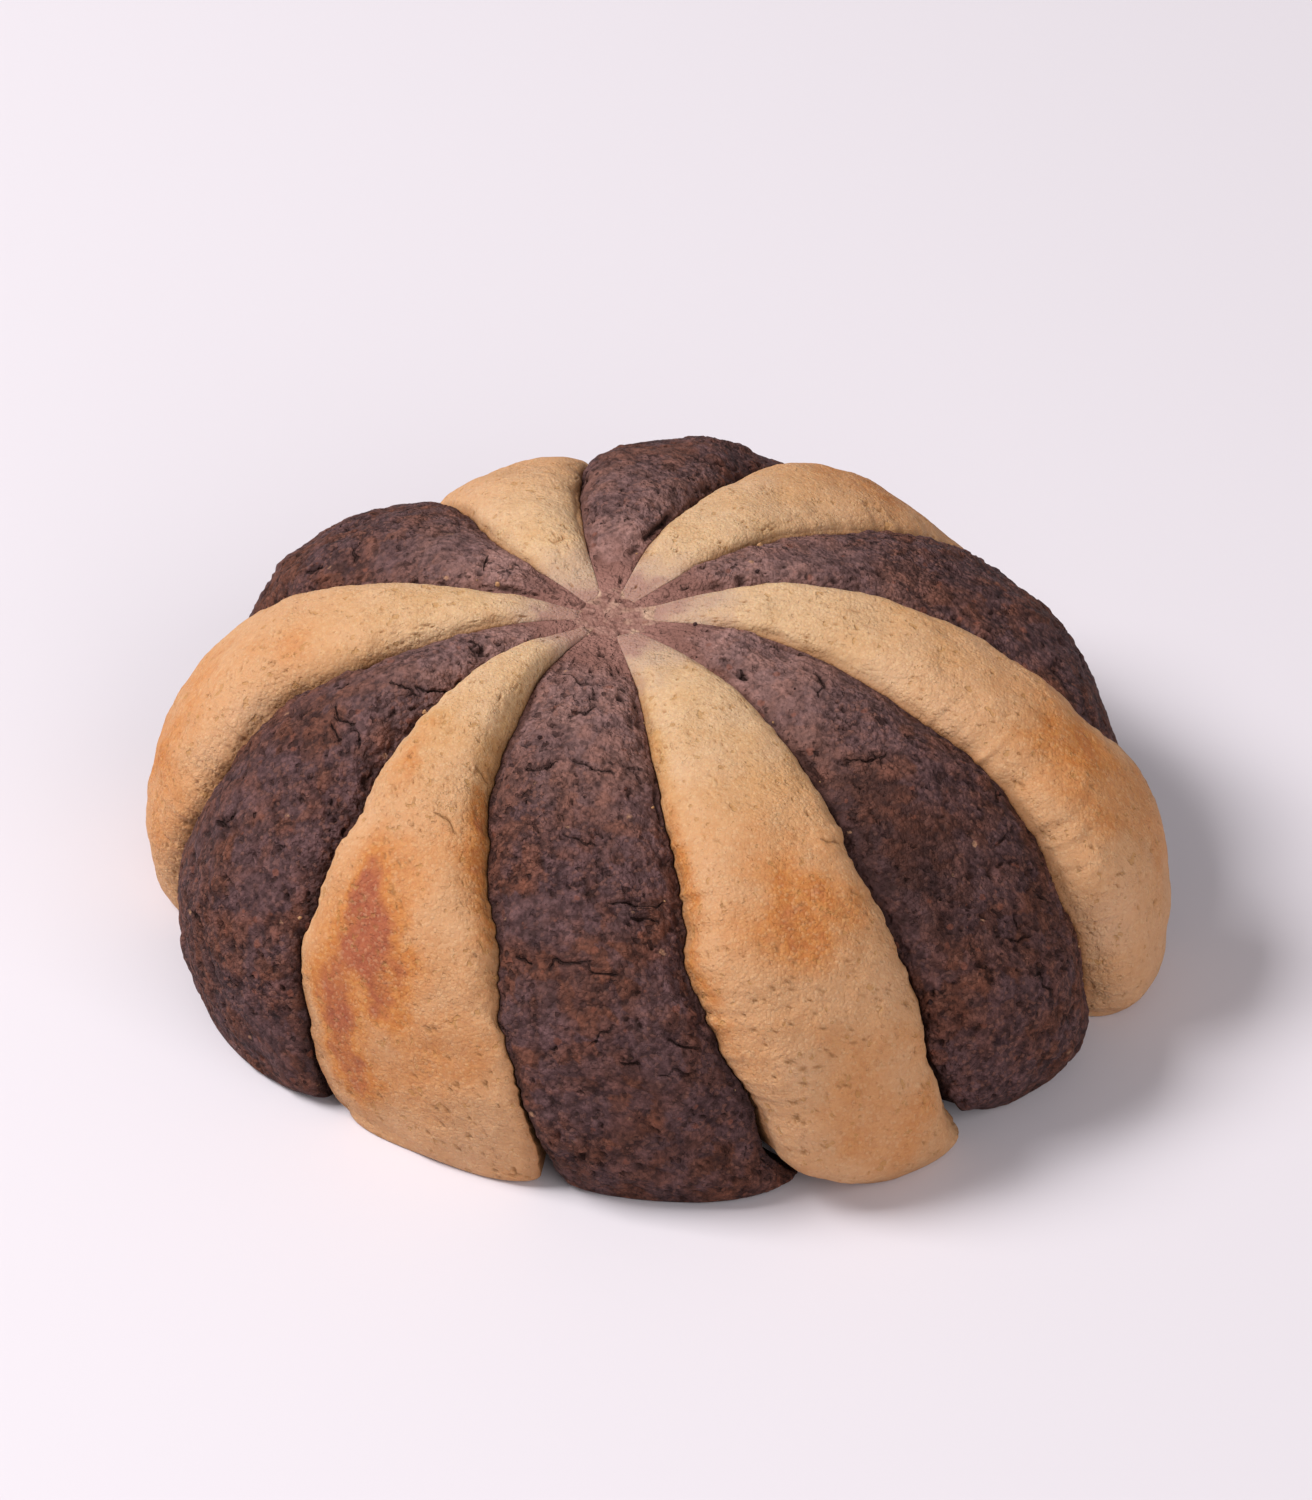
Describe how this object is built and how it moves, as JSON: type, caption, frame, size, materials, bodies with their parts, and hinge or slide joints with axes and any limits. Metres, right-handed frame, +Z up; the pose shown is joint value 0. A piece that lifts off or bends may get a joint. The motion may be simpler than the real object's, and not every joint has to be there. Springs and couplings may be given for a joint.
{
  "type": "flower cookie",
  "caption": "Domed shortbread cookie shaped like a flower, with cocoa and cream petals in turn round an off-centre knot, and a flat baked base.",
  "frame": {"origin": "middle of the box round the flat baked base, on the surface the cookie lies on", "axes": "+Z up through the cookie, -Y towards the side that shows best, +X to that side's right"},
  "size_m": [0.0498, 0.0486, 0.0175],
  "materials": {
    "cocoa_dough": "dry crumbly cocoa shortbread, matt",
    "cream_dough": "fine sandy butter shortbread, matt, browned towards the rim",
    "knot_dough": "both doughs pinched together, matt"
  },
  "bodies": {
    "root": {"cocoa_petal_1": "cocoa_dough", "cream_petal_1": "cream_dough", "cocoa_petal_2": "cocoa_dough", "cream_petal_2": "cream_dough", "cocoa_petal_3": "cocoa_dough", "cream_petal_3": "cream_dough", "cocoa_petal_4": "cocoa_dough", "cream_petal_4": "cream_dough", "cocoa_petal_5": "cocoa_dough", "cream_petal_5": "cream_dough", "cocoa_petal_6": "cocoa_dough", "cream_petal_6": "cream_dough", "centre_knot": "knot_dough"}
  },
  "joints": []
}
